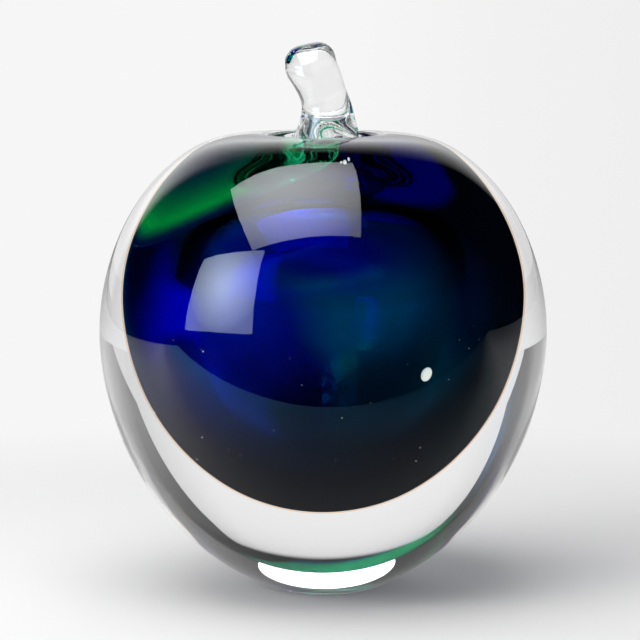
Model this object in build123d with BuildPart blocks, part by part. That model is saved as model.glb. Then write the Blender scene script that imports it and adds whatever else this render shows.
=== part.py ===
from build123d import *
from math import cos, radians, sin
import os

# Art glass apple: a blown bubble in blue and green glass, cased in two gathers of clear glass,
# with a clear stem bent to one side. It is hollow only where the sealed bubble is.
# Millimetres, +Z up. The origin is the centre of the polished flat that the apple stands on.
# The stem bends towards -X, and -Y faces the viewer.

# Outside of the apple
body_width = 130.0           # across the widest part
body_height = 132.5          # from the polished flat to the crest around the dimple
flat_width = 30.0            # polished flat that it rests on
flat_slope = 20.0            # degrees that the side rises from the flat's edge
arris_radius = 0.8           # softened edge of the flat
crest_width = 37.0           # across the crest of the dimple
dimple_depth = 7.0           # crest down to the seat of the stem
seat_width = 21.0            # flat floor of the dimple, where the stem is fused on

# Glass round the sealed bubble, which sets the bubble's own size
side_thickness = 26.4        # at the widest part
base_thickness = 36.4        # under the bubble
top_thickness = 13.5         # over the bubble, up to the seat of the stem
wall_thickness = 0.9         # coloured glass that lines the bubble
gather_thickness = 9.0       # first clear gather over the colour

# Neck that the bubble was blown through, closed by the root of the stem
neck_width = 6.0

# Seam where the green glass meets the blue, as a plane across the bubble
seam_drop = 3.0              # top of the bubble down to where the seam crosses the axis
seam_lean = 27.0             # degrees that it leans out of the level
seam_turn = 144.0            # degrees from +X to the side where it dips

# Stem
stem_height = 33.4           # seat to top
stem_width = 14.8            # waist, its thinnest place
stem_lean = 4.1              # how far the head sits off the foot
head_radius = 4.2            # fire-rounded edge of the head

# Seeds, the air trapped between one gather and the next
seed_width = 2.6             # the large one, in front and to the right
seed_turn = -50.0            # degrees from +X
neck_seed_width = 1.2        # the small ones in a row beside the neck
neck_seed_count = 5
neck_seed_turn = -80.0       # degrees from +X to the first of them
neck_seed_sweep = 110.0      # degrees from the first to the last

body_radius = body_width / 2
flat_radius = flat_width / 2
crest_radius = crest_width / 2
seat_radius = seat_width / 2
seat_height = body_height - dimple_depth
bubble_radius = body_radius - side_thickness
bubble_top = seat_height - top_thickness
bubble_height = bubble_top - base_thickness
neck_radius = neck_width / 2

# Side of the apple from the flat to the crest, as shares of its radius and height
body_side_share = [
    (0.433, 0.05),
    (0.654, 0.14),
    (0.855, 0.28),
    (0.966, 0.43),
    (1.0, 0.58),
    (0.953, 0.72),
    (0.843, 0.84),
    (0.687, 0.93),
    (0.533, 0.98),
]

# Side of the bubble from its bottom to its top, as shares of its radius and height
bubble_side_share = [
    (0.33, 0.035),
    (0.604, 0.130),
    (0.803, 0.261),
    (0.933, 0.414),
    (1.0, 0.587),
    (0.933, 0.779),
    (0.834, 0.872),
    (0.681, 0.943),
    (0.466, 0.984),
    (0.22, 0.9965),
]
seed_side = 3                # the large seed sits level with this place on the bubble's side

# Stem sections from foot to head: share of its height, of its width, and of its lean
stem_section_share = [
    (0.0, 1.39, 0.0),
    (0.18, 1.27, -0.24),
    (0.345, 1.07, -0.32),
    (0.45, 0.98, -0.27),
    (0.615, 1.0, 0.24),
    (0.765, 1.055, 0.71),
    (0.90, 1.03, 0.93),
    (1.0, 0.985, 1.0),
]


def body_outline():
    """Half outline of the apple, from the middle of the flat to the middle of the seat."""
    side = [(share * body_radius, rise * body_height) for share, rise in body_side_share]
    crest = (crest_radius, body_height)
    seat_edge = (seat_radius, seat_height)
    outward = (cos(radians(flat_slope)), sin(radians(flat_slope)))
    Line((0, 0), (flat_radius, 0))
    Spline((flat_radius, 0), *side, crest, tangents=(outward, (-1, 0)))
    Spline(crest, seat_edge, tangents=((-1, 0), (-1, 0)))
    Line(seat_edge, (0, seat_height))
    Line((0, seat_height), (0, 0))


def bubble_side(cover):
    """Radius and height of the places down the bubble's side, under a cover of glass."""
    wide = bubble_radius + cover
    low = base_thickness - cover
    tall = bubble_height + 2 * cover
    return [(share * wide, low + rise * tall) for share, rise in bubble_side_share]


def bubble_outline(cover):
    """Half outline of the bubble with a cover of glass of this thickness all round it."""
    bottom = (0, base_thickness - cover)
    top = (0, bubble_top + cover)
    Spline(bottom, *bubble_side(cover), top, tangents=((1, 0), (-1, 0)))
    Line(top, bottom)


def neck_outline(radius):
    """Half outline of the neck, from inside the bubble up to the seat of the stem."""
    foot = bubble_top - bubble_height / 2
    Polyline((0, foot), (radius, foot), (radius, seat_height), (0, seat_height), close=True)


def turn_outline(outline, *size, mode=Mode.ADD):
    """Add the outline, turned about the axis, to the piece, or cut it from the piece."""
    with BuildSketch(Plane.XZ) as half:
        with BuildLine():
            outline(*size)
        make_face()
    revolve(half.sketch, axis=Axis.Z, mode=mode)


def finish_part(part, name):
    """Name the part and write it."""
    part.label = name
    export_step(part, f"parts/{name}.step")


os.makedirs("parts", exist_ok=True)

colour_cover = wall_thickness
gather_cover = wall_thickness + gather_thickness
tube_radius = neck_radius + wall_thickness
seed_reach, seed_height = bubble_side(wall_thickness + gather_thickness / 2)[seed_side]
seed_place = (
    seed_reach * cos(radians(seed_turn)),
    seed_reach * sin(radians(seed_turn)),
    seed_height,
)
neck_seed_height = (bubble_top + gather_cover + seat_height) / 2
neck_seed_reach = (tube_radius + seat_radius) / 2

seam = Plane(
    origin=(0, 0, bubble_top - seam_drop),
    z_dir=(
        sin(radians(seam_lean)) * cos(radians(seam_turn)),
        sin(radians(seam_lean)) * sin(radians(seam_turn)),
        cos(radians(seam_lean)),
    ),
)

# Outer gather: the clear glass that gives the apple its shape, its dimple and its polished flat
with BuildPart() as outer_gather:
    turn_outline(body_outline)
    turn_outline(bubble_outline, gather_cover, mode=Mode.SUBTRACT)
    turn_outline(neck_outline, tube_radius, mode=Mode.SUBTRACT)
    flat_edge = outer_gather.edges().filter_by(GeomType.CIRCLE).group_by(Axis.Z)[0]
    fillet(flat_edge, arris_radius)
    with Locations((0, 0, neck_seed_height)):
        with PolarLocations(neck_seed_reach, neck_seed_count, neck_seed_turn, neck_seed_sweep):
            Sphere(neck_seed_width / 2, mode=Mode.SUBTRACT)
finish_part(outer_gather.part, "outer_gather")

# Inner gather: the first clear glass over the colour
with BuildPart() as inner_gather:
    turn_outline(bubble_outline, gather_cover)
    turn_outline(bubble_outline, colour_cover, mode=Mode.SUBTRACT)
    turn_outline(neck_outline, tube_radius, mode=Mode.SUBTRACT)
    with Locations(seed_place):
        Sphere(seed_width / 2, mode=Mode.SUBTRACT)
finish_part(inner_gather.part, "inner_gather")

# Blue underlay: coloured glass round the bubble, below the seam
with BuildPart() as blue_underlay:
    turn_outline(bubble_outline, colour_cover)
    turn_outline(neck_outline, tube_radius)
    turn_outline(bubble_outline, 0, mode=Mode.SUBTRACT)
    turn_outline(neck_outline, neck_radius, mode=Mode.SUBTRACT)
    split(bisect_by=seam, keep=Keep.BOTTOM)
finish_part(blue_underlay.part, "blue_underlay")

# Green underlay: coloured glass over the shoulder of the bubble and up the neck
with BuildPart() as green_underlay:
    turn_outline(bubble_outline, colour_cover)
    turn_outline(neck_outline, tube_radius)
    turn_outline(bubble_outline, 0, mode=Mode.SUBTRACT)
    turn_outline(neck_outline, neck_radius, mode=Mode.SUBTRACT)
    split(bisect_by=seam, keep=Keep.TOP)
finish_part(green_underlay.part, "green_underlay")

# Stem: drawn out of one hot bit of clear glass, with a root that plugs the neck of the bubble
with BuildPart() as stem:
    for rise, width, lean in stem_section_share:
        with BuildSketch(Plane.XY.offset(seat_height + rise * stem_height)):
            with Locations((-lean * stem_lean, 0)):
                Circle(width * stem_width / 2)
    loft()
    head_face = stem.faces().sort_by(Axis.Z)[-1]
    fillet(head_face.edges(), head_radius)
    with BuildSketch(Plane.XY.offset(seat_height)):
        Circle(neck_radius)
    extrude(amount=bubble_top - seat_height)
finish_part(stem.part, "stem")
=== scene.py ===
from math import cos, pi, radians, sin, tan

import bmesh
import bpy
import numpy as np
from mathutils import Matrix, Vector


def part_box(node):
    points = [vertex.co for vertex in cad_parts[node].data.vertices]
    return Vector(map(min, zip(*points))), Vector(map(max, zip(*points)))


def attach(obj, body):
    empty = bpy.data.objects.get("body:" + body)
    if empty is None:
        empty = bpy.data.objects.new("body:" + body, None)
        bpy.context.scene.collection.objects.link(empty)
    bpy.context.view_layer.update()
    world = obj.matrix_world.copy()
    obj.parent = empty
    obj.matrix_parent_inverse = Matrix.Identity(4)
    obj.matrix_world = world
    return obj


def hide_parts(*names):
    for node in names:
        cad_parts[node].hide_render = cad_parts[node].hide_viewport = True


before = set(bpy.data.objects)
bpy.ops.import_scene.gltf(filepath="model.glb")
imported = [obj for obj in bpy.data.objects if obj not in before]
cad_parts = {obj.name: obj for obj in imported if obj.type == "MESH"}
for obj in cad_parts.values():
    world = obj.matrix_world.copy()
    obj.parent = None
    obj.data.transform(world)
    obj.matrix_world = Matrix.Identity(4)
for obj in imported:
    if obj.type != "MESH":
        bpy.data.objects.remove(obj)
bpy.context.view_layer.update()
scene = bpy.context.scene

# Camera
# A long lens a metre in front of the apple, a little over its top, as the photograph was taken.
# The apple stands a shade right of the middle of the picture.
camera_distance = 1.0
camera_height = 0.1955
aim_height = 0.0782
camera_aside = -0.0009
camera_lens = 194.56
sight_end = 50.0

camera = bpy.data.objects.new("camera", bpy.data.cameras.new("camera"))
camera.data.lens = camera_lens
camera.data.clip_end = sight_end
camera.location = (camera_aside, -camera_distance, camera_height)
line_of_sight = Vector((0.0, camera_distance, aim_height - camera_height))
camera.rotation_euler = line_of_sight.to_track_quat("-Z", "Y").to_euler()
scene.collection.objects.link(camera)
scene.camera = camera

# Studio
# A white table in front of a white sweep, as for a catalogue picture of glass. The room beside and
# above the sweep is dim, which draws the dark edges of the glass. Two softboxes stand at the left.
sensor_half = 18.0              # half the width of the camera's sensor, mm
backdrop_sides = (              # the backdrop's white from the left edge of the picture to its right, with painted shade: a little darker to the right, away from the softboxes
    (0.00, "F6F6F6"),
    (0.55, "F6F6F6"),
    (0.78, "F1F1F1"),
    (1.00, "EFEFEF"),
)
backdrop_half = sensor_half / camera_lens   # half of what the photo's camera takes in, sideways over depth
backdrop_front = camera_distance            # on the table it fans out from that camera's place, in all views
table_white = "F2F2F2"
table_half = 6.0
table_drop = 0.0003             # air left under the polished flat
table_lit = (0.13, 0.34)        # the lamps light the table inside this, and it is plain white beyond
room_turns = (                  # share of the turn from the front by left, back and right
    (0.000, "686868"),
    (0.060, "686868"),
    (0.120, "A0A0A0"),
    (0.200, "959595"),
    (0.278, "C8C8C8"),
    (0.306, "9C9C9C"),
    (0.325, "9C9C9C"),
    (0.342, "747474"),
    (0.370, "767676"),
    (0.620, "7C7C7C"),
    (0.650, "868686"),
    (0.683, "A4A4A4"),
    (0.708, "CCCCCC"),
    (0.760, "B0B0B0"),
    (0.800, "A0A0A0"),
    (0.985, "A0A0A0"),
    (1.000, "686868"),
)
room_heights = (                # sine of the elevation
    (0.20, "FFFFFF"),
    (0.34, "E0E0E0"),
    (0.42, "C4C4C4"),
    (0.50, "A6A6A6"),
    (0.70, "888888"),
)
sweep_turns = (                 # the sweep, in the same shares of the turn
    (0.37, "F0F0F0"),
    (0.41, "F7F7F7"),
    (0.57, "F4F4F4"),
    (0.62, "DEDEDE"),
)
sweep_left = (0.354, 0.372)             # where its left side ends, below and higher up
sweep_right = (0.667, 0.632, 0.603)     # where its right side ends, below, higher up and at the top
sweep_rises = (0.0, 0.17, 0.63)         # sine of those elevations
sweep_top = (0.74, 0.82)                # where it gives way to the ceiling
ceiling_grey = "1D1D1D"
mirrored_sweep = (              # the same sweep as glass mirrors it: sideways over depth
    (0.00, "000000"),
    (0.14, "FFFFFF"),
    (0.56, "FFFFFF"),
    (0.78, "DCDCDC"),
    (0.91, "A8A8A8"),
    (1.00, "000000"),
)
mirrored_sides = (-0.88, 0.66)  # sideways over depth at the first and last of these
mirrored_rise = (               # and height over depth
    (0.08, "B8B8B8"),
    (0.22, "FFFFFF"),
    (0.33, "E4E4E4"),
    (0.47, "C0C0C0"),
    (0.60, "949494"),
    (0.80, "505050"),
    (1.00, "000000"),
)
mirrored_top = 1.5              # height over depth at the last of these
mirrored_glow = 1.55            # its light, and that of the room beside it
mirrored_room = 0.003
ambient = 1.0                   # share of the room's light that reaches the table by bouncing
mirror_reach = 0.30             # the table beside the apple, as glass mirrors it, reaches this far
# The levels of the next two ramps were read from the photo by a script: its medians where the glass
# mirrors the table, over the share that glass mirrors. Those along the depth are tinted teal too.
mirror_shade_across = (               # painted light and shade, from the bright left to the dark right
    (0.00, "CBCBCB"),
    (0.20, "B3B3B3"),
    (0.33, "A2A2A2"),
    (0.47, "7C7C7C"),
    (0.60, "6C6C6C"),
    (0.73, "505050"),
    (0.93, "383838"),
)
mirror_depth = (-0.170, -0.040)         # depths at the first and last of the next
mirror_along = (                # and from its front edge back, with the apple's teal light on it
    (0.00, "84C8F9"),
    (0.23, "97CEF6"),
    (0.38, "A7C8E3"),
    (0.54, "B5C8D8"),
    (0.69, "C8CED8"),
    (0.85, "EDEDED"),
    (1.00, "FFFFFF"),
)
mirror_level = 2.6              # how much brighter it is than a table in room light
mirror_fade = (0.04, -0.06)     # that image takes over from the lit table between these depths
floor_reach = 5.9               # the dark floor round the table, which glass mirrors
floor_lift = 0.0006             # it lies this much over the table's plane, to be met first
table_left = -0.95              # where the table ends at the left
table_front = (-0.235, -0.177, 0.20)    # depth of its front edge at the left, in front and far right
straight_back = 0.001           # least depth of a direction, so that nothing is divided by zero
floor_black = "141414"


def linear(hex_colour):
    """The colour as Blender's nodes take it, from sRGB hex."""
    shares = [int(hex_colour[i:i + 2], 16) / 255 for i in (0, 2, 4)]
    return [s / 12.92 if s <= 0.04045 else ((s + 0.055) / 1.055) ** 2.4 for s in shares] + [1.0]


def add_node(tree, kind, sockets=None, stops=(), **settings):
    """Add a node with its settings, what goes into its sockets, and a colour ramp's stops."""
    node = tree.nodes.new(kind)
    for name, value in settings.items():
        setattr(node, name, value)
    for name, value in (sockets or {}).items():
        if isinstance(value, bpy.types.NodeSocket):
            tree.links.new(value, node.inputs[name])
        else:
            node.inputs[name].default_value = value
    for number, (place, colour) in enumerate(stops):
        elements = node.color_ramp.elements
        stop = elements[number] if number < 2 else elements.new(place)
        stop.position = place
        stop.color = linear(colour)
    return node


def new_material(name):
    """An empty material and its node tree."""
    material = bpy.data.materials.new(name)
    material.use_nodes = True
    material.node_tree.nodes.clear()
    return material, material.node_tree


def mirrored_rays(tree):
    """A value of 1 for rays that a surface mirrors, and 0 for rays that went into the glass."""
    rays = add_node(tree, "ShaderNodeLightPath")
    sent_back = {0: rays.outputs["Is Glossy Ray"], 1: rays.outputs["Is Transmission Ray"]}
    mirrored = add_node(tree, "ShaderNodeMath", sent_back, operation="SUBTRACT", use_clamp=True)
    return rays, mirrored.outputs[0]


world = bpy.data.worlds.new("studio")
scene.world = world
world.use_nodes = True
tree = world.node_tree
tree.nodes.clear()
way = add_node(tree, "ShaderNodeTexCoord").outputs["Generated"]
split = add_node(tree, "ShaderNodeSeparateXYZ", {"Vector": way})
right, back, up = (split.outputs[axis] for axis in "XYZ")
turn = add_node(tree, "ShaderNodeMath", {0: right, 1: back}, operation="ARCTAN2")
turn_share = add_node(
    tree, "ShaderNodeMapRange", {"Value": turn.outputs[0], "From Min": -pi, "From Max": pi}
).outputs["Result"]
room = add_node(tree, "ShaderNodeValToRGB", {"Fac": turn_share}, stops=room_turns)
height = add_node(tree, "ShaderNodeValToRGB", {"Fac": up}, stops=room_heights)
sweep = add_node(tree, "ShaderNodeValToRGB", {"Fac": turn_share}, stops=sweep_turns)
dim_room = add_node(
    tree,
    "ShaderNodeMix",
    data_type="RGBA",
    blend_type="MULTIPLY",
    sockets={"Factor": 1.0, 6: room.outputs["Color"], 7: height.outputs["Color"]},
)
low = {"Value": up, "From Min": sweep_rises[0], "From Max": sweep_rises[1]}
high = {"Value": up, "From Min": sweep_rises[1], "From Max": sweep_rises[2]}
left_end = add_node(
    tree, "ShaderNodeMapRange", {**low, "To Min": sweep_left[0], "To Max": sweep_left[1]}
)
lower_right = add_node(
    tree, "ShaderNodeMapRange", {**low, "To Min": sweep_right[0], "To Max": sweep_right[1]}
)
upper_right = add_node(
    tree, "ShaderNodeMapRange", {**high, "To Min": 0.0, "To Max": sweep_right[2] - sweep_right[1]}
)
right_end = {0: lower_right.outputs["Result"], 1: upper_right.outputs["Result"]}
right_end = add_node(tree, "ShaderNodeMath", right_end, operation="ADD")
past_left = {0: turn_share, 1: left_end.outputs["Result"]}
past_left = add_node(tree, "ShaderNodeMath", past_left, operation="GREATER_THAN")
short_of_right = {0: turn_share, 1: right_end.outputs[0]}
short_of_right = add_node(tree, "ShaderNodeMath", short_of_right, operation="LESS_THAN")
on_sweep = {0: past_left.outputs[0], 1: short_of_right.outputs[0]}
on_sweep = add_node(tree, "ShaderNodeMath", on_sweep, operation="MULTIPLY")
walls = add_node(
    tree,
    "ShaderNodeMix",
    data_type="RGBA",
    sockets={"Factor": on_sweep.outputs[0], 6: dim_room.outputs[2], 7: sweep.outputs["Color"]},
)
over_sweep = add_node(
    tree,
    "ShaderNodeMapRange",
    {"Value": up, "From Min": sweep_top[0], "From Max": sweep_top[1]},
    interpolation_type="SMOOTHSTEP",
)
around = add_node(
    tree,
    "ShaderNodeMix",
    data_type="RGBA",
    sockets={"Factor": over_sweep.outputs["Result"], 6: walls.outputs[2], 7: linear(ceiling_grey)},
)
behind = add_node(tree, "ShaderNodeMath", {0: back, 1: straight_back}, operation="MAXIMUM")
sideways = add_node(tree, "ShaderNodeMath", {0: right, 1: behind.outputs[0]}, operation="DIVIDE")
aside = add_node(
    tree,
    "ShaderNodeMapRange",
    {"Value": sideways.outputs[0], "From Min": mirrored_sides[0], "From Max": mirrored_sides[1]},
)
aside = add_node(tree, "ShaderNodeValToRGB", {"Fac": aside.outputs["Result"]}, stops=mirrored_sweep)
rise = add_node(tree, "ShaderNodeMath", {0: up, 1: behind.outputs[0]}, operation="DIVIDE")
rise = add_node(tree, "ShaderNodeMath", {0: rise.outputs[0], 1: mirrored_top}, operation="DIVIDE")
rise = add_node(tree, "ShaderNodeValToRGB", {"Fac": rise.outputs[0]}, stops=mirrored_rise)
glow = {0: aside.outputs["Color"], 1: rise.outputs["Color"]}
glow = add_node(tree, "ShaderNodeMath", glow, operation="MULTIPLY")
glow = {0: glow.outputs[0], 1: mirrored_glow, 2: mirrored_room}
glow = add_node(tree, "ShaderNodeMath", glow, operation="MULTIPLY_ADD")
# The backdrop as the camera sees it, with its painted shade a little darker to the right.
backdrop = {"Value": sideways.outputs[0], "From Min": -backdrop_half, "From Max": backdrop_half}
backdrop = add_node(tree, "ShaderNodeMapRange", backdrop)
backdrop = add_node(
    tree, "ShaderNodeValToRGB", {"Fac": backdrop.outputs["Result"]}, stops=backdrop_sides
)
rays, mirrored = mirrored_rays(tree)
around = add_node(
    tree,
    "ShaderNodeMix",
    data_type="RGBA",
    sockets={"Factor": mirrored, 6: around.outputs[2], 7: glow.outputs[0]},
)
seen = add_node(
    tree,
    "ShaderNodeMix",
    data_type="RGBA",
    sockets={"Factor": rays.outputs["Is Camera Ray"], 6: around.outputs[2], 7: backdrop.outputs["Color"]},
)
strength = {"Value": rays.outputs["Is Diffuse Ray"], "To Min": 1.0, "To Max": ambient}
strength = add_node(tree, "ShaderNodeMapRange", strength)
sky = {"Color": seen.outputs[2], "Strength": strength.outputs["Result"]}
sky = add_node(tree, "ShaderNodeBackground", sky)
add_node(tree, "ShaderNodeOutputWorld", {"Surface": sky.outputs[0]})

# White acrylic sheet: near the apple it is lit and holds the shadow, and further off it is plain white, as
# the sweep is, with the same painted shade to the right. Glass mirrors it as a painted glow, brighter than
# the camera sees it, with painted light and shade.
table_material, tree = new_material("white_acrylic_table")
place = add_node(tree, "ShaderNodeTexCoord").outputs["Object"]
distance = add_node(tree, "ShaderNodeVectorMath", {0: place}, operation="LENGTH")
beyond = add_node(
    tree,
    "ShaderNodeMapRange",
    {"Value": distance.outputs["Value"], "From Min": table_lit[0], "From Max": table_lit[1]},
    interpolation_type="SMOOTHSTEP",
)
rays, mirrored = mirrored_rays(tree)
plain = {0: beyond.outputs["Result"], 1: rays.outputs["Is Camera Ray"]}
plain = add_node(tree, "ShaderNodeMath", plain, operation="MULTIPLY")
plain = {0: plain.outputs[0], 1: rays.outputs["Is Transmission Ray"]}
plain_share = add_node(tree, "ShaderNodeMath", plain, operation="MAXIMUM")
matt = add_node(tree, "ShaderNodeBsdfDiffuse", {"Color": linear(table_white)})
on_table = add_node(tree, "ShaderNodeSeparateXYZ", {"Vector": place})
behind = {0: on_table.outputs["Y"], 1: backdrop_front}
behind = add_node(tree, "ShaderNodeMath", behind, operation="ADD")
sideways = {0: on_table.outputs["X"], 1: behind.outputs[0]}
sideways = add_node(tree, "ShaderNodeMath", sideways, operation="DIVIDE")
# Further off the table takes the backdrop's white, with the same painted shade.
sideways = {"Value": sideways.outputs[0], "From Min": -backdrop_half, "From Max": backdrop_half}
sideways = add_node(tree, "ShaderNodeMapRange", sideways)
white = add_node(tree, "ShaderNodeValToRGB", {"Fac": sideways.outputs["Result"]}, stops=backdrop_sides)
white = add_node(tree, "ShaderNodeEmission", {"Color": white.outputs["Color"]})
table_top = {0: plain_share.outputs[0], 1: matt.outputs[0], 2: white.outputs[0]}
table_top = add_node(tree, "ShaderNodeMixShader", table_top)
across = add_node(
    tree,
    "ShaderNodeMapRange",
    {"Value": on_table.outputs["X"], "From Min": -mirror_reach, "From Max": mirror_reach},
)
along = add_node(
    tree,
    "ShaderNodeMapRange",
    {"Value": on_table.outputs["Y"], "From Min": mirror_depth[0], "From Max": mirror_depth[1]},
)
across = add_node(tree, "ShaderNodeValToRGB", {"Fac": across.outputs["Result"]}, stops=mirror_shade_across)
along = add_node(tree, "ShaderNodeValToRGB", {"Fac": along.outputs["Result"]}, stops=mirror_along)
image = add_node(
    tree,
    "ShaderNodeMix",
    data_type="RGBA",
    blend_type="MULTIPLY",
    sockets={"Factor": 1.0, 6: across.outputs["Color"], 7: along.outputs["Color"]},
)
# The table as glass mirrors it is a painted glow: painted light and shade across it, and the apple's teal
# light along it.
mirrored_table_glow = add_node(
    tree, "ShaderNodeEmission", {"Color": image.outputs[2], "Strength": mirror_level}
)
in_front = add_node(
    tree,
    "ShaderNodeMapRange",
    {"Value": on_table.outputs["Y"], "From Min": mirror_fade[0], "From Max": mirror_fade[1]},
)
taken_over = {0: in_front.outputs["Result"], 1: mirrored}
taken_over = add_node(tree, "ShaderNodeMath", taken_over, operation="MULTIPLY")
table_top = {0: taken_over.outputs[0], 1: table_top.outputs[0], 2: mirrored_table_glow.outputs[0]}
table_top = add_node(tree, "ShaderNodeMixShader", table_top)
add_node(tree, "ShaderNodeOutputMaterial", {"Surface": table_top.outputs[0]})


def flat_panel(name, corners, material):
    """A flat sheet that stands in the studio."""
    mesh = bpy.data.meshes.new(name)
    mesh.from_pydata(corners, [], [range(len(corners))])
    mesh.materials.append(material)
    panel = bpy.data.objects.new(name, mesh)
    scene.collection.objects.link(panel)
    return panel


flat_panel(
    "table",
    [
        (-table_half, -table_half, -table_drop),
        (table_half, -table_half, -table_drop),
        (table_half, table_half, -table_drop),
        (-table_half, table_half, -table_drop),
    ],
    table_material,
)

# The dark floor round the table, which only mirrored rays see, as a dark rim low in the glass.
floor_material, tree = new_material("dark_studio_floor")
black = add_node(tree, "ShaderNodeBsdfDiffuse", {"Color": linear(floor_black)})
add_node(tree, "ShaderNodeOutputMaterial", {"Surface": black.outputs[0]})
dark_floor = flat_panel(
    "dark_floor",
    [
        (-floor_reach, -floor_reach, floor_lift),
        (floor_reach, -floor_reach, floor_lift),
        (floor_reach, table_front[2], floor_lift),
        (0.0, table_front[1], floor_lift),
        (table_left, table_front[0], floor_lift),
        (table_left, floor_reach, floor_lift),
        (-floor_reach, floor_reach, floor_lift),
    ],
    floor_material,
)
dark_floor.visible_camera = False
dark_floor.visible_diffuse = False
dark_floor.visible_transmission = False
dark_floor.visible_shadow = False


def add_softbox(name, corners, hot_spot, levels, reach, power, colour):
    """A softbox: the cloth front that glass mirrors, hottest at one spot, and the light it gives."""
    cloth, tree = new_material(name + "_cloth")
    place = add_node(tree, "ShaderNodeTexCoord").outputs["Object"]
    off_centre = add_node(tree, "ShaderNodeVectorMath", {0: place, 1: hot_spot}, operation="DISTANCE")
    glow = add_node(
        tree,
        "ShaderNodeMapRange",
        {
            "Value": off_centre.outputs["Value"],
            "From Min": 0.0,
            "From Max": reach,
            "To Min": levels[0],
            "To Max": levels[1],
        },
    )
    lit = {"Color": linear(colour), "Strength": glow.outputs["Result"]}
    lit = add_node(tree, "ShaderNodeEmission", lit)
    add_node(tree, "ShaderNodeOutputMaterial", {"Surface": lit.outputs[0]})
    front = flat_panel(name, corners, cloth)
    front.visible_camera = False
    front.visible_diffuse = False
    front.visible_shadow = False

    a, b, c, d = (Vector(corner) for corner in corners)
    light = bpy.data.lights.new(name + "_lamp", "AREA")
    light.shape = "RECTANGLE"
    light.size = ((b - a).length + (c - d).length) / 2
    light.size_y = ((d - a).length + (c - b).length) / 2
    light.energy = power
    lamp = bpy.data.objects.new(name + "_lamp", light)
    side = (b - a + c - d).normalized()
    facing = side.cross(d - a + c - b).normalized()
    centre = (a + b + c + d) / 4
    if facing.dot(centre) > 0:
        facing = -facing
    lamp.matrix_world = Matrix((side, facing.cross(side), -facing)).transposed().to_4x4()
    lamp.location = centre
    lamp.visible_camera = False
    lamp.visible_glossy = False
    lamp.visible_transmission = False
    scene.collection.objects.link(lamp)


add_softbox(
    "key_softbox",
    corners=[
        (-0.670, 0.172, 1.098),
        (0.192, 0.360, 1.281),
        (0.347, -0.704, 0.965),
        (-0.658, -0.672, 0.832),
    ],
    hot_spot=(-0.28, -0.22, 1.24),
    levels=(10.2, 2.3),
    reach=0.71,
    power=9.0,
    colour="F6FAFF",
)
add_softbox(
    "side_softbox",
    corners=[
        (-0.882, -0.296, 0.593),
        (-0.506, -0.679, 0.790),
        (-0.629, -0.909, 0.146),
        (-1.066, -0.340, 0.117),
    ],
    hot_spot=(-0.76, -0.55, 0.45),
    levels=(13.4, 3.8),
    reach=0.35,
    power=7.1,
    colour="D6E7FF",
)

# Light goes through many walls of glass before it comes out, and no light is focused on the table.
scene.view_settings.view_transform = "Standard"
scene.cycles.max_bounces = 32
scene.cycles.transmission_bounces = 32
scene.cycles.glossy_bounces = 16
scene.cycles.transparent_max_bounces = 48
scene.cycles.caustics_reflective = False
scene.cycles.caustics_refractive = False

# Clear casing
# Two gathers of clear lead-free crystal over the bubble, fused into one body, blocked to an apple,
# pressed in at the top for the stem, and ground and polished flat below. The stem's foot fuses to it.
crystal_part, fused_part, seed_part = range(3)     # numbers of its materials
outer_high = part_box("outer_gather")[1]
mesh_slack = 0.00002            # the frame's facets may stand this far proud
body_radius = outer_high.x - 2 * mesh_slack
crest_height = outer_high.z
seat_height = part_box("green_underlay")[1].z
flat_radius = 0.015
flat_slope = radians(20)
arris_radius = 0.0008
crest_radius = 0.0185
seat_radius = 0.0105
foot_radius = 0.01033           # where the stem's foot ends on the seat
colour_wall = 0.0009
neck_radius = 0.003
turns = 288                     # faces round every turned shell
fine_step = 0.00102             # and their length down its side
crease = radians(50)            # edges sharper than this stay sharp
seam_gap = 0.00001              # between faces that are fused in the real glass
film_cover = 0.00015            # the colour is seen as lying right on the bubble's skin
fringe_width = 0.0003           # glass just over the colour, whose edge shows a warm line
glass_index = 1.52
wave_size = 0.030               # the blocking leaves waves of this length and depth
wave_depth = 0.00004
lamp_tint = "DEE0E4"            # what one wall of the clear glass leaves of a lamp's light
body_side_share = [             # share of its radius and of its height, from the flat to the crest
    (0.433, 0.05),
    (0.654, 0.14),
    (0.855, 0.28),
    (0.966, 0.43),
    (1.0, 0.58),
    (0.953, 0.72),
    (0.843, 0.84),
    (0.687, 0.93),
    (0.533, 0.98),
]


def smooth_line(places, leaving, arriving, step):
    """Points about a step apart on the smooth line through the places, with its end directions."""
    p = np.array(places, float)
    h = np.linalg.norm(np.diff(p, axis=0), axis=1)
    count = len(p)
    left, right = np.eye(count), np.zeros_like(p)
    right[0], right[-1] = leaving, arriving
    for i in range(1, count - 1):
        left[i, i - 1:i + 2] = h[i], 2 * (h[i - 1] + h[i]), h[i - 1]
        right[i] = 3 * (h[i] / h[i - 1] * (p[i] - p[i - 1]) + h[i - 1] / h[i] * (p[i + 1] - p[i]))
    slope = np.linalg.solve(left, right)
    points = []
    for i in range(count - 1):
        t = np.linspace(0, 1, max(2, int(np.ceil(h[i] / step)) + 1))[:-1, None]
        points.append(
            (1 + 2 * t) * (1 - t) ** 2 * p[i]
            + t * (1 - t) ** 2 * h[i] * slope[i]
            + t ** 2 * (3 - 2 * t) * p[i + 1]
            + t ** 2 * (t - 1) * h[i] * slope[i + 1]
        )
    return [(float(r), float(z)) for r, z in np.concatenate([*points, p[-1:]])]


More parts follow.
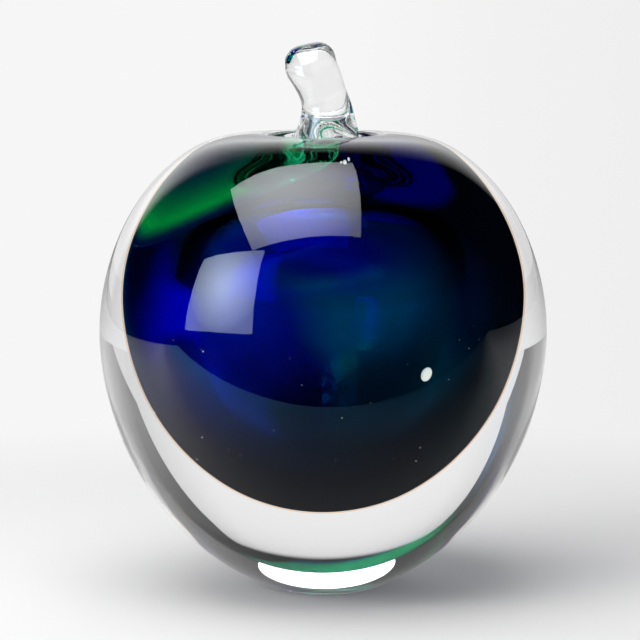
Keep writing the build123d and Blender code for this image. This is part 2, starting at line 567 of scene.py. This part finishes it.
def turned_shell(lines):
    """Vertices, faces and each face's material for lines of (radius, height) turned about Z.

    Each line is its points and its material's number, and starts where the line before it ends.
    """
    vertices, faces, numbers = [], [], []
    ring = None
    angles = np.linspace(0, 2 * pi, turns, endpoint=False)
    for points, number in lines:
        for radius, height in points if ring is None else points[1:]:
            start = len(vertices)
            if radius < mesh_slack:
                vertices.append((0.0, 0.0, height))
                here = [start]
            else:
                vertices += [(radius * sin(a), -radius * cos(a), height) for a in angles]
                here = list(range(start, start + turns))
            if ring is not None:
                for i in range(turns):
                    j = (i + 1) % turns
                    if len(ring) == 1:
                        face = (ring[0], here[j], here[i])
                    elif len(here) == 1:
                        face = (ring[i], ring[j], here[0])
                    else:
                        face = (ring[i], ring[j], here[j], here[i])
                    faces.append(face)
                    numbers.append(number)
            ring = here
    return vertices, faces, numbers


def void_shell(centre, size, lean, rounds=20):
    """A trapped air bubble: an egg of this size at the centre, leaning, with its faces inward."""
    rows = rounds // 2 + 1
    place = Matrix.Translation(centre) @ Matrix.Rotation(lean, 4, "Y")
    half = Vector(size) / 2
    heights = [(sin(a), -cos(a)) for a in np.linspace(0, pi, rows)]
    vertices = [tuple(place @ Vector((0.0, 0.0, -half.z)))]
    for out, rise in heights[1:-1]:
        for a in np.linspace(0, 2 * pi, rounds, endpoint=False):
            spot = Vector((half.x * out * cos(a), half.y * out * sin(a), half.z * rise))
            vertices.append(tuple(place @ spot))
    vertices.append(tuple(place @ Vector((0.0, 0.0, half.z))))
    top = len(vertices) - 1
    faces = []
    for i in range(rounds):
        j = (i + 1) % rounds
        faces.append((0, 1 + i, 1 + j))
        for row in range(rows - 3):
            low, high = 1 + row * rounds, 1 + (row + 1) * rounds
            faces.append((low + j, low + i, high + i, high + j))
        last = 1 + (rows - 3) * rounds
        faces.append((last + j, last + i, top))
    return vertices, faces, [seed_part] * len(faces)


def glass_piece(name, shells, materials):
    """One piece of glass from shells of vertices, faces and material numbers."""
    vertices, faces, numbers = [], [], []
    for shell_vertices, shell_faces, shell_numbers in shells:
        start = len(vertices)
        vertices += shell_vertices
        faces += [tuple(start + i for i in face) for face in shell_faces]
        numbers += shell_numbers
    mesh = bpy.data.meshes.new(name)
    mesh.from_pydata(vertices, [], faces)
    for material in materials:
        mesh.materials.append(material)
    mesh.polygons.foreach_set("material_index", numbers)
    mesh.polygons.foreach_set("use_smooth", [True] * len(faces))
    mesh.set_sharp_from_angle(angle=crease)
    piece = bpy.data.objects.new(name, mesh)
    scene.collection.objects.link(piece)
    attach(piece, "root")
    return piece


def pass_lamps(tree, surface, tint):
    """The surface for every ray but a lamp's, which passes as through a tinted pane."""
    rays = add_node(tree, "ShaderNodeLightPath")
    pane = add_node(tree, "ShaderNodeBsdfTransparent", {"Color": linear(tint)})
    either = {0: rays.outputs["Is Shadow Ray"], 1: surface.outputs[0], 2: pane.outputs[0]}
    mix = add_node(tree, "ShaderNodeMixShader", either)
    add_node(tree, "ShaderNodeOutputMaterial", {"Surface": mix.outputs[0]})


# Lead-free crystal, fire-polished: a clean bright surface with faint long waves from the blocking.
crystal, tree = new_material("clear_crystal_fire_polished")
place = add_node(tree, "ShaderNodeTexCoord").outputs["Object"]
waves = add_node(tree, "ShaderNodeTexNoise", {"Vector": place, "Scale": 1 / wave_size, "Detail": 1.0})
swell = {"Height": waves.outputs["Fac"], "Strength": 1.0, "Distance": wave_depth}
swell = add_node(tree, "ShaderNodeBump", swell)
glass = {"IOR": glass_index, "Roughness": 0.0, "Color": linear("FEFEFE"), "Normal": swell.outputs[0]}
glass = add_node(tree, "ShaderNodeBsdfGlass", glass)
pass_lamps(tree, glass, lamp_tint)

# Where two gathers fuse there is no surface to see, only the warm edge that the thick glass spreads
# from white light along the outline of the colour.
fused, tree = new_material("fused_gathers")
edge = add_node(tree, "ShaderNodeLayerWeight", {"Blend": 0.5})
warmth = add_node(
    tree,
    "ShaderNodeValToRGB",
    {"Fac": edge.outputs["Facing"]},
    stops=((0.86, "FFFFFF"), (0.985, "FFDDB4")),
)
clear = add_node(tree, "ShaderNodeBsdfTransparent", {"Color": warmth.outputs["Color"]})
add_node(tree, "ShaderNodeOutputMaterial", {"Surface": clear.outputs[0]})

bubble_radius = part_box("blue_underlay")[1].x - colour_wall
bubble_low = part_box("blue_underlay")[0].z + colour_wall
bubble_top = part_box("stem")[0].z
bubble_side_share = [           # as for the body, from the bubble's bottom to its top
    (0.33, 0.035),
    (0.604, 0.130),
    (0.803, 0.261),
    (0.933, 0.414),
    (1.0, 0.587),
    (0.933, 0.779),
    (0.834, 0.872),
    (0.681, 0.943),
    (0.466, 0.984),
    (0.22, 0.9965),
]


def bubble_line(cover):
    """Half outline of the bubble, bottom to top, under a cover of glass."""
    wide, low = bubble_radius + cover, bubble_low - cover
    tall = bubble_top - bubble_low + 2 * cover
    side = [(s * wide, low + r * tall) for s, r in bubble_side_share]
    return smooth_line([(0.0, low), *side, (0.0, low + tall)], (1, 0), (-1, 0), fine_step)


def up_to_neck(line, radius):
    """The line from the bubble's bottom up to where it comes in to the neck of this radius."""
    middle = (bubble_low + bubble_top) / 2
    kept = [(r, z) for r, z in line if z < middle or r > radius]
    return [*kept, (radius, kept[-1][1])]


outward = Vector((cos(flat_slope), sin(flat_slope)))
side = [(s * body_radius, r * crest_height) for s, r in body_side_share]
side_line = smooth_line(
    [(flat_radius, 0.0), *side, (crest_radius, crest_height)], tuple(outward), (-1, 0), fine_step
)
arris_centre = flat_radius - arris_radius * tan(flat_slope / 2)
arris_line = [
    (arris_centre + arris_radius * sin(a), arris_radius * (1 - cos(a)))
    for a in np.linspace(0, flat_slope, 5)
]
flat_line = [(0.0, 0.0), (flat_radius / 2, 0.0), arris_line[0]]
side_line = [arris_line[-1], *side_line[1:]]
dimple_line = smooth_line(
    [(crest_radius, crest_height), (seat_radius, seat_height)], (-1, 0), (-1, 0), fine_step
)
socket_radius = neck_radius + colour_wall + seam_gap
fringe_line = up_to_neck(bubble_line(film_cover + fringe_width), socket_radius)

# Seeds: air that was trapped where the second gather went over the first. The large one has its
# height, its degrees from the front, and its width, depth and height.
gather_cover = 0.0054           # how far out from the bubble the large seed lies
gather_line = bubble_line(gather_cover)
large_seed = (0.0685, 36.5, (0.0026, 0.0026, 0.0036))
large_seed_lean = radians(25)
neck_seed_level = 0.1237
neck_seed_reach = 0.0072
neck_seed_size = 0.0012
neck_seed_turns = (10, 32, 54, 76, 98)
shoulder_seeds = (              # a cluster beside the neck, each with its radius second
    (0.1136, 0.0117, 25, (0.0009, 0.0011, 0.0008)),
    (0.1146, 0.0135, 18, (0.0005, 0.0006, 0.0005)),
    (0.1129, 0.0098, 36, (0.0005, 0.0005, 0.0006)),
)
fine_seed_count = 70
fine_seed_sizes = (0.00012, 0.00034)    # most are near the smaller size
fine_seed_heights = (0.046, 0.080)
fine_seed_spread = 0.0035       # how far in from the gather's surface they lie
bead_glow_share = 0.7              # share of a bead that is a painted glow, and the rest glass
chance = np.random.default_rng(7)


def reach_at(line, height):
    """Radius of the line's outer side at this height."""
    side = [(z, r) for r, z in line[: len(line) * 2 // 3]]
    return float(np.interp(height, *zip(*side)))


def place_at(reach, turn, level):
    """The place at this radius, this many radians round from the front, and this height."""
    return reach * sin(turn), -reach * cos(turn), level


level, degrees, size = large_seed
centre = place_at(reach_at(gather_line, level), radians(degrees), level)
voids = [void_shell(centre, size, large_seed_lean)]
for degrees in neck_seed_turns:
    centre = place_at(neck_seed_reach, radians(degrees), neck_seed_level)
    voids.append(void_shell(centre, [neck_seed_size] * 3, 0.0))
for level, reach, degrees, size in shoulder_seeds:
    voids.append(void_shell(place_at(reach, radians(degrees), level), size, 0.0))
for _ in range(fine_seed_count):
    level = chance.uniform(*fine_seed_heights)
    turn = chance.uniform(-pi, pi)
    size = fine_seed_sizes[0] + (fine_seed_sizes[1] - fine_seed_sizes[0]) * chance.random() ** 3
    reach = reach_at(gather_line, level) + chance.uniform(-fine_seed_spread, 0.0)
    voids.append(void_shell(place_at(reach, turn, level), [size] * 3, 0.0, rounds=8))

# Trapped air, which shows as bright silvery beads: the light that its skin sends back is painted as a glow
# of its own.
seed_skin, tree = new_material("trapped_air_seed_skin")
glass = add_node(tree, "ShaderNodeBsdfGlass", {"IOR": glass_index, "Roughness": 0.0})
# The painted glow that stands in for the light each seed sends back.
bead_glow = add_node(tree, "ShaderNodeEmission", {"Color": linear("E8F2EC"), "Strength": 1.0})
bead = {0: bead_glow_share, 1: glass.outputs[0], 2: bead_glow.outputs[0]}
bead = add_node(tree, "ShaderNodeMixShader", bead)
pass_lamps(tree, bead, "FFFFFF")

casing = glass_piece(
    "clear_casing",
    [
        turned_shell(
            [
                (flat_line, crystal_part),
                (arris_line, crystal_part),
                (side_line, crystal_part),
                (dimple_line, crystal_part),
                ([(seat_radius, seat_height), (foot_radius, seat_height)], crystal_part),
                ([(foot_radius, seat_height), (socket_radius, seat_height)], fused_part),
                ([(socket_radius, seat_height), *reversed(fringe_line)], fused_part),
            ]
        ),
        *voids,
    ],
    [crystal, fused, seed_skin],
)
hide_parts("outer_gather", "inner_gather")

# Blue and green underlay
# Thin coloured glass that lines the blown bubble: cobalt blue running into teal below, and emerald
# green over the left shoulder. The two were laid on hot and meet at a leaning seam.
film_part, wall_part, joint_part = range(3)     # numbers of their materials
seam_lean = radians(27)
seam_turn = radians(144)
seam_drop = 0.003               # from the bubble's top down to the seam, on the axis
seam_height = bubble_top - seam_drop
seam_normal = Vector(
    (sin(seam_lean) * cos(seam_turn), sin(seam_lean) * sin(seam_turn), cos(seam_lean))
)
swirl_size = 0.018              # size of the swirls in the colour
swirl_reach = 0.0045            # and how far they carry it
blue_tint = "46568A"            # what each film leaves of a lamp's light
green_tint = "4A6A64"
mm = 0.001
# The base colours, all blue patches but the last, the green patch's turn and colour, the height where
# the band is bright and the first crown patch come from a script that fitted them to the photo.
blue_base = "032843"            # each film's colour where no patch lies
blue_patches = (                # degrees from the front, mm high, mm across and up, even share, colour
    (-136, 84, 58, 40, 0.04, "039CB6"),      # the back, teal
    (178, 86.6, 24.5, 7.4, 0.43, "03BA92"),  # its brightest place, seen along the foot
    (169, 73, 52, 34, 0.01, "034B61"),
    (-42, 70, 57, 31, 0.00, "033298"),       # the left
    (10, 75, 41, 26, 0.71, "036377"),        # low in front
    (-19, 84.5, 19.5, 40, 0.80, "0368DB"),
    (-65, 82, 23, 9.2, 0.42, "0300D5"),      # the bright window at the left
    (4, 89, 36, 23.5, 0.43, "03AED9"),       # the pale teal in front
    (-3, 98, 35, 12.7, 0.33, "031CDC"),      # the blue over it
    (69, 111.5, 18, 20, 0.80, "030093"),
    (-79, 83.5, 17, 19, 0.24, "0300C9"),
    (62, 83, 15, 22, 0.06, "033F67"),        # the dark right
    (-10, 62, 10.6, 28, 0.41, "031F6D"),
    (-25, 78, 22, 22, 0.37, "0329D1"),
    (77, 59, 22, 40, 0.08, "034B56"),
    (-96, 91.5, 24, 28, 0.16, "03045B"),
    (-32, 86.5, 20, 17.5, 0.30, "0330DE"),
    (-154, 97, 19.5, 7.5, 0.47, "03A992"),
    (-34, 98, 13.7, 5.6, 0.17, "031AD2"),
    (-168, 85.5, 20, 7.0, 0.50, "047E66"),   # the green band round the back
)
green_base = "034676"
# A bright patch of the green at the left: painted reflection over the film's own green.
green_reflection_patches = ((-88, 100, 52, 52, 0.30, "03BC7A"),)
crown_patches = (               # these lie over all the green
    (-13, 110, 14, 5.8, 0.31, "03C5A4"),     # over the bubble's top, in front
    (0, 114, 12, 12, 0.70, "94E2CC"),        # the neck, drawn thin, and to nothing at its top
    (0, 126, 9, 8, 0.60, "FFFFFF"),
)
green_reflection_band = (                  # millimetres above the seam where the painted reflection shows: dark, bright, dark again
    (0.7, "000000"),
    (3.3, "FFFFFF"),
    (10.5, "000000"),
)
bubble_outline = sorted((z, r) for r, z in bubble_line(film_cover))


def colour_patches(tree, colour, patches):
    """A film's colour: soft patches laid one over another on this colour, with wandering edges."""
    place = add_node(tree, "ShaderNodeTexCoord").outputs["Object"]
    swirl = add_node(tree, "ShaderNodeTexNoise", {"Vector": place, "Scale": 1 / swirl_size, "Detail": 2.0})
    shift = add_node(
        tree,
        "ShaderNodeVectorMath",
        {0: swirl.outputs["Color"], 1: (0.5, 0.5, 0.5)},
        operation="SUBTRACT",
    )
    shift = add_node(
        tree, "ShaderNodeVectorMath", {0: shift.outputs[0], "Scale": swirl_reach}, operation="SCALE"
    )
    place = add_node(tree, "ShaderNodeVectorMath", {0: place, 1: shift.outputs[0]}, operation="ADD")
    for turn, height, across, up, even, patch in patches:
        radius = float(np.interp(height * mm, *zip(*bubble_outline)))
        apart = {0: place.outputs[0], 1: place_at(radius, radians(turn), height * mm)}
        apart = add_node(tree, "ShaderNodeVectorMath", apart, operation="SUBTRACT")
        apart = {0: apart.outputs[0], 1: (across * mm, across * mm, up * mm)}
        apart = add_node(tree, "ShaderNodeVectorMath", apart, operation="DIVIDE")
        apart = add_node(tree, "ShaderNodeVectorMath", {0: apart.outputs[0]}, operation="LENGTH")
        cover = add_node(
            tree,
            "ShaderNodeMapRange",
            {"Value": apart.outputs["Value"], "From Min": 1.0, "From Max": even},
            interpolation_type="SMOOTHSTEP",
        )
        colour = add_node(
            tree,
            "ShaderNodeMix",
            data_type="RGBA",
            sockets={"Factor": cover.outputs["Result"], 6: colour, 7: linear(patch)},
        ).outputs[2]
    return colour


# Cobalt-coloured soda glass, blown thin: see-through deep blue, with teal where it thins and turns.
blue_film, tree = new_material("cobalt_blue_glass_film")
blue_colour = colour_patches(tree, linear(blue_base), blue_patches)
blue = add_node(tree, "ShaderNodeBsdfTransparent", {"Color": blue_colour})
pass_lamps(tree, blue, blue_tint)

# Emerald glass laid on in one pull: dark green, lit brightest just over the seam at the left by a painted
# reflection.
green_film, tree = new_material("emerald_green_glass_film")
patches = colour_patches(tree, linear(green_base), green_reflection_patches)
place = add_node(tree, "ShaderNodeTexCoord").outputs["Object"]
over_seam = {0: place, 1: tuple(seam_normal)}
over_seam = add_node(tree, "ShaderNodeVectorMath", over_seam, operation="DOT_PRODUCT")
band_height = green_reflection_band[-1][0]
band_start = seam_height * seam_normal.z
band_end = band_start + band_height * mm
over_seam = {"Value": over_seam.outputs["Value"], "From Min": band_start, "From Max": band_end}
over_seam = add_node(tree, "ShaderNodeMapRange", over_seam)
band = add_node(
    tree,
    "ShaderNodeValToRGB",
    {"Fac": over_seam.outputs["Result"]},
    stops=[(above / band_height, level) for above, level in green_reflection_band],
)
green_colour = add_node(
    tree,
    "ShaderNodeMix",
    data_type="RGBA",
    sockets={"Factor": band.outputs["Color"], 6: linear(green_base), 7: patches},
)
green_colour = colour_patches(tree, green_colour.outputs[2], crown_patches)
green = add_node(tree, "ShaderNodeBsdfTransparent", {"Color": green_colour})
pass_lamps(tree, green, green_tint)

# The skin inside the bubble, which never touched a tool: perfectly smooth, and a mirror from within.
wall_glass, tree = new_material("blown_glass_bubble_wall")
glass = {"IOR": glass_index, "Roughness": 0.0, "Color": linear("FFFFFF")}
glass = add_node(tree, "ShaderNodeBsdfGlass", glass)
pass_lamps(tree, glass, "FFFFFF")


def side_of_seam(shell, keep_top):
    """The part of the shell on one side of the seam, closed along it."""
    vertices, faces, numbers = shell
    aside = seam_normal * (seam_gap if keep_top else -seam_gap)
    mesh = bpy.data.meshes.new("halves")
    mesh.from_pydata(vertices, [], faces)
    mesh.polygons.foreach_set("material_index", numbers)
    half = bmesh.new()
    half.from_mesh(mesh)
    bpy.data.meshes.remove(mesh)
    bmesh.ops.bisect_plane(
        half,
        geom=[*half.verts, *half.edges, *half.faces],
        plane_co=Vector((0.0, 0.0, seam_height)) + aside,
        plane_no=seam_normal,
        clear_inner=keep_top,
        clear_outer=not keep_top,
    )
    rims = [edge for edge in half.edges if edge.is_boundary]
    if rims:
        for face in bmesh.ops.bridge_loops(half, edges=rims)["faces"]:
            face.material_index = joint_part
    bmesh.ops.recalc_face_normals(half, faces=half.faces)
    half.verts.index_update()
    kept = (
        [tuple(vert.co) for vert in half.verts],
        [tuple(vert.index for vert in face.verts) for face in half.faces],
        [face.material_index for face in half.faces],
    )
    half.free()
    return kept


tube_radius = neck_radius + colour_wall
neck_top = seat_height - seam_gap
film_line = up_to_neck(bubble_line(film_cover), tube_radius)
wall_line = up_to_neck(bubble_line(0.0), neck_radius)
bore_line = [(tube_radius, neck_top), (neck_radius, neck_top), (neck_radius, bubble_top)]
lining_shell = turned_shell(
    [
        ([*film_line, (tube_radius, neck_top)], film_part),
        (bore_line, joint_part),
        ([(neck_radius, bubble_top), *reversed(wall_line)], wall_part),
    ]
)
blue_underlay = glass_piece(
    "blue_glass_underlay",
    [side_of_seam(lining_shell, False)],
    [blue_film, wall_glass, fused],
)
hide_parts("blue_underlay")
green_underlay = glass_piece(
    "green_glass_underlay",
    [side_of_seam(lining_shell, True)],
    [green_film, wall_glass, fused],
)
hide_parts("green_underlay")

# Stem
# A separate bit of hot clear crystal, stuck on in the dimple, pulled up and bent over to the left
# while soft, sheared off and fire-rounded at the head. Its root plugs the neck of the bubble.
clear_part, plug_part, root_part = range(3)     # numbers of its materials
stem_width = 0.0148
stem_height = 0.0334
stem_lean = 0.0041
foot_flare = (-0.35, 0.94)      # direction of its side where it leaves the seat
head_radius = 0.0042
head_length = 0.012             # how far down the shears bent it
head_tilt = 0.20                # how steeply the sheared end falls to the left
head_back = 0.002               # in front of this place it is domed
head_dome = 43.0                # metres that it falls per square metre in front of that
stem_section_share = [          # share of its height, of its width and of its lean
    (0.0, 1.39, 0.0),
    (0.18, 1.27, -0.24),
    (0.345, 1.07, -0.32),
    (0.45, 0.98, -0.27),
    (0.615, 1.0, 0.24),
    (0.765, 1.055, 0.71),
    (0.90, 1.03, 0.93),
    (1.0, 0.985, 1.0),
]
stem_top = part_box("stem")[1].z
head_width = stem_section_share[-1][1] * stem_width / 2
sections = [(w * stem_width / 2, seat_height + r * stem_height) for r, w, _ in stem_section_share]
stem_side = smooth_line(
    [*sections[:-2], (head_width, stem_top - head_radius)], foot_flare, (0, 1), fine_step
)
head_line = [
    (head_width - head_radius * (1 - cos(a)), stem_top - head_radius * (1 - sin(a)))
    for a in np.linspace(0, pi / 2, 12)
]
root_radius = neck_radius - seam_gap
foot = (stem_side[0][0], seat_height + seam_gap)
stem_shell = turned_shell(
    [
        ([(0.0, bubble_top), (root_radius, bubble_top)], plug_part),
        ([(root_radius, bubble_top), (root_radius, foot[1]), foot], root_part),
        ([foot, *stem_side[1:]], clear_part),
        ([*head_line, (0.0, stem_top)], clear_part),
    ]
)
lean_line = smooth_line(
    [(seat_height + r * stem_height, share * stem_lean) for r, _, share in stem_section_share],
    (1, 0),
    (1, 0.1),
    fine_step,
)
lean_heights, leans = zip(*lean_line)
stem_vertices = []
for x, y, z in stem_shell[0]:
    tilt = float(np.interp(z, (stem_top - head_length, stem_top - head_radius / 2), (0.0, 1.0)))
    leftward = max(0.0, head_width / 3 - x)
    forward = max(0.0, head_back - y)
    fall = tilt * (head_tilt * leftward + head_dome * forward ** 2)
    stem_vertices.append((x - float(np.interp(z, lean_heights, leans)), y, z - fall))
stem = glass_piece(
    "stem_glass",
    [(stem_vertices, stem_shell[1], stem_shell[2])],
    [crystal, wall_glass, fused],
)
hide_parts("stem")
